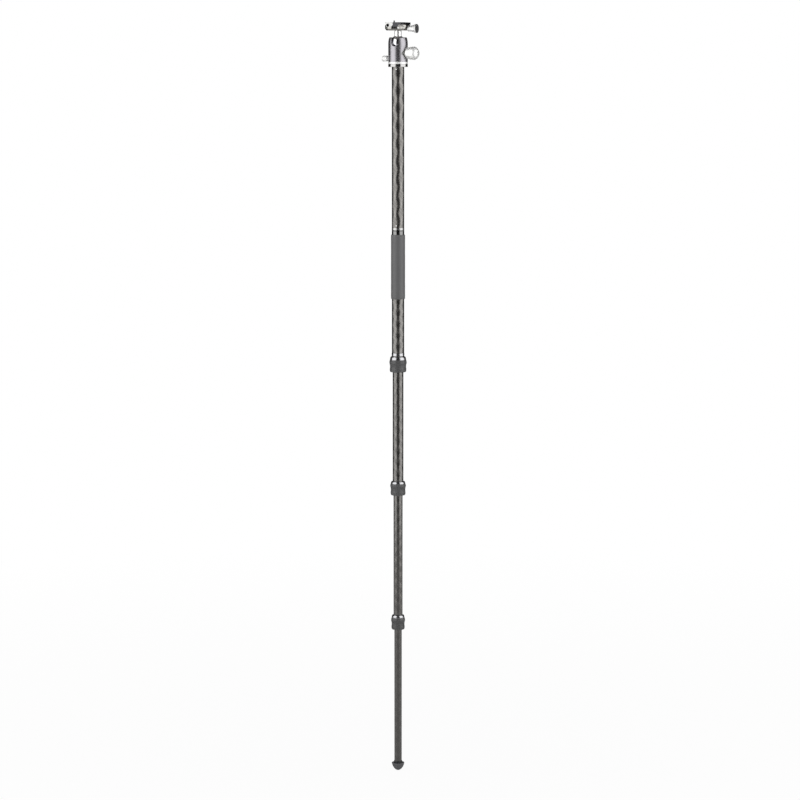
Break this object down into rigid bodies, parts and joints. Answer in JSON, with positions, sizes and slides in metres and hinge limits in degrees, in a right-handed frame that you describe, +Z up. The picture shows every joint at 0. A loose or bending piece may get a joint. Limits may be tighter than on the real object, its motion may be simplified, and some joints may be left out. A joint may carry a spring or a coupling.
{
  "type": "travel tripod monopod",
  "caption": "Carbon monopod made from a travel tripod: telescoping tubes with twist locks, foam grip, centre column and a ball head holding a quick-release plate.",
  "frame": {"origin": "middle of the foot's flat tip, on the floor and on the tubes' axis", "axes": "+Z up along the tubes to the camera plate, +X towards the head's main knob and the clamp knob, -Y towards the head's drop notch"},
  "size_m": [0.0772, 0.045, 1.5356],
  "materials": {
    "carbon_tube": "clear-coated carbon weave",
    "black_plastic": "satin black",
    "grip_rubber": "matt ribbed rubber",
    "foam": "matt closed-cell foam",
    "gunmetal": "glossy dark anodised",
    "dark_metal": "satin black anodised",
    "silver": "satin silver anodised",
    "grey_metal": "matt grey anodised",
    "steel": "bright",
    "vial_green": "tinted clear acrylic"
  },
  "bodies": {
    "leg_1": {"leg_1_tube": "carbon_tube", "foam_grip": "foam", "lock_1_bush": "black_plastic", "lock_1_collet": "black_plastic", "leg_top_fitting": "dark_metal", "leg_stud": "steel", "column_bottom_ring": "silver", "column_tube": "carbon_tube", "column_pins": "silver", "column_platform": "gunmetal", "head_stud": "steel", "pan_base": "silver", "pan_washer": "black_plastic"},
    "lock_1": {"lock_1_sleeve": "gunmetal", "lock_1_grip": "grip_rubber"},
    "leg_2": {"leg_2_tube": "carbon_tube", "leg_2_guides": "black_plastic", "lock_2_bush": "black_plastic", "lock_2_collet": "black_plastic"},
    "lock_2": {"lock_2_sleeve": "gunmetal", "lock_2_grip": "grip_rubber"},
    "leg_3": {"leg_3_tube": "carbon_tube", "leg_3_guides": "black_plastic", "lock_3_bush": "black_plastic", "lock_3_collet": "black_plastic"},
    "lock_3": {"lock_3_sleeve": "gunmetal", "lock_3_grip": "grip_rubber"},
    "leg_4": {"leg_4_tube": "carbon_tube", "leg_4_guides": "black_plastic", "leg_4_plug": "black_plastic", "foot_core": "black_plastic", "foot_rubber": "grip_rubber"},
    "head": {"head_housing": "gunmetal", "ball_retainer": "dark_metal", "ball_seat": "black_plastic", "main_knob_bushing": "steel", "pan_brake": "black_plastic"},
    "wedge": {"lock_wedge": "steel"},
    "main_knob": {"main_knob": "silver", "main_knob_band": "grey_metal", "main_knob_shaft": "steel"},
    "friction_dial": {"friction_dial": "silver"},
    "pan_knob": {"pan_knob": "silver", "pan_knob_screw": "steel"},
    "ball": {"ball": "dark_metal", "ball_neck": "silver", "clamp_mount_screw": "steel"},
    "clamp": {"clamp_body": "dark_metal", "clamp_guide_pins": "steel", "level_vial": "vial_green"},
    "clamp_jaw": {"clamp_jaw": "dark_metal"},
    "clamp_knob": {"clamp_knob": "silver", "clamp_knob_cap": "dark_metal", "clamp_spindle": "steel"},
    "plate": {"plate_body": "dark_metal", "plate_pad": "grip_rubber"},
    "camera_screw": {"camera_screw": "steel"},
    "twist_pin": {"twist_pin": "steel"}
  },
  "joints": [
    {"name": "lock_1_turn", "type": "hinge", "parent": "leg_1", "child": "lock_1", "pos_m": [0, 0, 0.845], "axis": [0, 0, 1], "range_deg": [0, 120]},
    {"name": "leg_2_slide", "type": "slide", "parent": "leg_1", "child": "leg_2", "axis": [0, 0, 1], "range_m": [0, 0.219]},
    {"name": "lock_2_turn", "type": "hinge", "parent": "leg_2", "child": "lock_2", "pos_m": [0, 0, 0.59], "axis": [0, 0, 1], "range_deg": [0, 120]},
    {"name": "leg_3_slide", "type": "slide", "parent": "leg_2", "child": "leg_3", "axis": [0, 0, 1], "range_m": [0, 0.243]},
    {"name": "lock_3_turn", "type": "hinge", "parent": "leg_3", "child": "lock_3", "pos_m": [0, 0, 0.312], "axis": [0, 0, 1], "range_deg": [0, 120]},
    {"name": "leg_4_slide", "type": "slide", "parent": "leg_3", "child": "leg_4", "axis": [0, 0, 1], "range_m": [0, 0.27]},
    {"name": "head_pan", "type": "hinge", "parent": "leg_1", "child": "head", "pos_m": [0, 0, 1.4538], "axis": [0, 0, 1], "continuous": true},
    {"name": "pan_knob_turn", "type": "hinge", "parent": "head", "child": "pan_knob", "pos_m": [0, 0, 1.4603], "axis": [-1, 0, 0], "range_deg": [0, 270]},
    {"name": "main_knob_turn", "type": "hinge", "parent": "head", "child": "main_knob", "pos_m": [0, 0, 1.4707], "axis": [1, 0, 0], "range_deg": [0, 300]},
    {"name": "friction_dial_turn", "type": "hinge", "parent": "main_knob", "child": "friction_dial", "pos_m": [0, 0, 1.4707], "axis": [1, 0, 0], "range_deg": [0, 180]},
    {"name": "wedge_slide", "type": "slide", "parent": "head", "child": "wedge", "axis": [-1, 0, 0], "range_m": [0, 0.0011]},
    {"name": "ball_tilt", "type": "hinge", "parent": "head", "child": "ball", "pos_m": [0, 0, 1.4915], "axis": [1, 0, 0], "range_deg": [-22, 90]},
    {"name": "ball_spin", "type": "hinge", "parent": "ball", "child": "clamp", "pos_m": [0, 0, 1.4915], "axis": [0, 0, 1], "continuous": true},
    {"name": "clamp_jaw_slide", "type": "slide", "parent": "clamp", "child": "clamp_jaw", "axis": [1, 0, 0], "range_m": [0, 0.004]},
    {"name": "clamp_knob_turn", "type": "hinge", "parent": "clamp_jaw", "child": "clamp_knob", "pos_m": [0, 0, 1.51972], "axis": [1, 0, 0], "range_deg": [0, 1150]},
    {"name": "plate_slide", "type": "slide", "parent": "clamp", "child": "plate", "axis": [0, 1, 0], "range_m": [-0.006, 0.006]},
    {"name": "camera_screw_lift", "type": "slide", "parent": "plate", "child": "camera_screw", "axis": [0, 0, 1], "range_m": [0, 0.0048]},
    {"name": "twist_pin_press", "type": "slide", "parent": "plate", "child": "twist_pin", "axis": [0, 0, 1], "range_m": [-0.0034, 0], "stiffness_N_per_m": 300}
  ],
  "couplings": [
    {"joint": "wedge_slide", "follows": "main_knob_turn", "m_per_rad": 0.00019894},
    {"joint": "clamp_jaw_slide", "follows": "clamp_knob_turn", "m_per_rad": 0.00019894}
  ]
}
